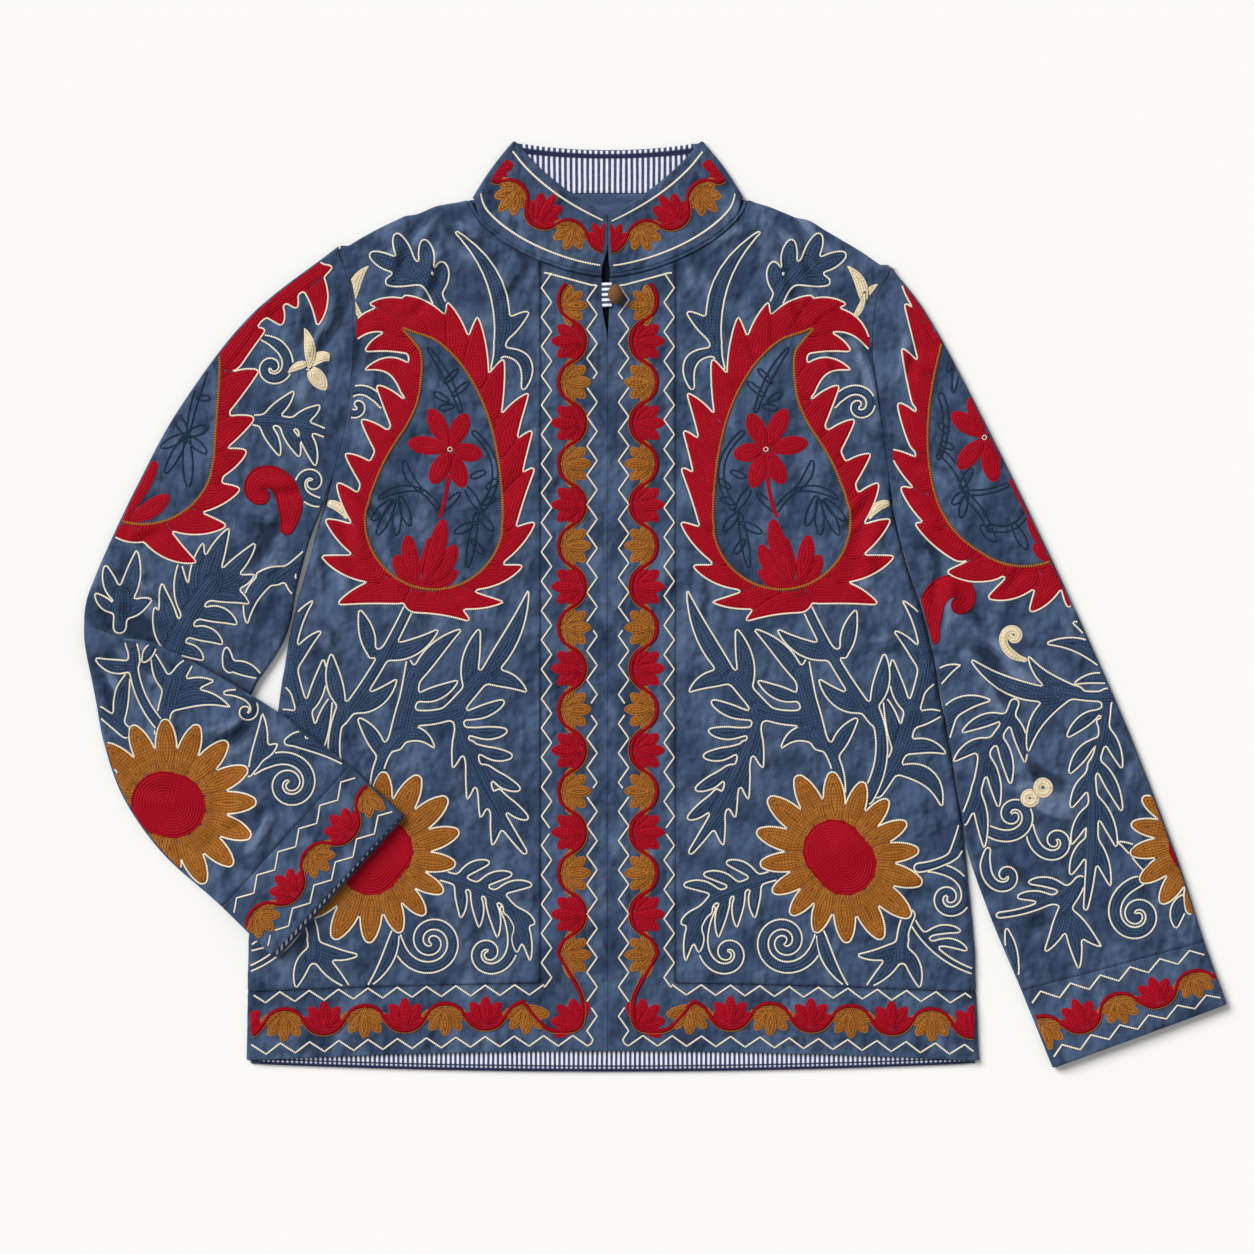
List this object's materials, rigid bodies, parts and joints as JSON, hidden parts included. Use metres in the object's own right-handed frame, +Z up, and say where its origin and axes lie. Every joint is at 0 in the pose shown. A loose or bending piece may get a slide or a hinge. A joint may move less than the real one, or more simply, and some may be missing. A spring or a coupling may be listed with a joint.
{
  "type": "velvet jacket",
  "caption": "Short velvet jacket with a stand collar, worked borders and a ball button, laid flat with one sleeve bent across the front.",
  "frame": {"origin": "centre of the jacket's bounding box, on the surface it lies on", "axes": "+X to the wearer's left, across the jacket with its straight sleeve; +Y towards the collar; +Z up off the surface, out of the front"},
  "size_m": [0.869, 0.7074, 0.017],
  "materials": {
    "velvet": "crushed dusty-blue velvet",
    "facing": "plain dusty-blue cloth",
    "striped_cotton": "white and navy striped cotton",
    "button_cord": "wound brown cord",
    "red_thread": "rows of red chain stitch",
    "amber_thread": "rows of amber chain stitch",
    "navy_thread": "rows of dark blue chain stitch",
    "cream_cord": "laid cream cord"
  },
  "bodies": {
    "root": {"back": "velvet", "front_right": "velvet", "front_left": "velvet", "border_right": "velvet", "border_left": "velvet", "sleeve_right": "velvet", "sleeve_left": "velvet", "cuff_right": "velvet", "cuff_left": "velvet", "collar": "velvet", "neck_piping_right": "velvet", "neck_piping_left": "velvet", "neck_facing": "facing", "collar_lining": "striped_cotton", "hem_lining": "striped_cotton", "cuff_lining_right": "striped_cotton", "cuff_lining_left": "striped_cotton", "button": "button_cord", "button_loop": "striped_cotton"}
  },
  "joints": []
}
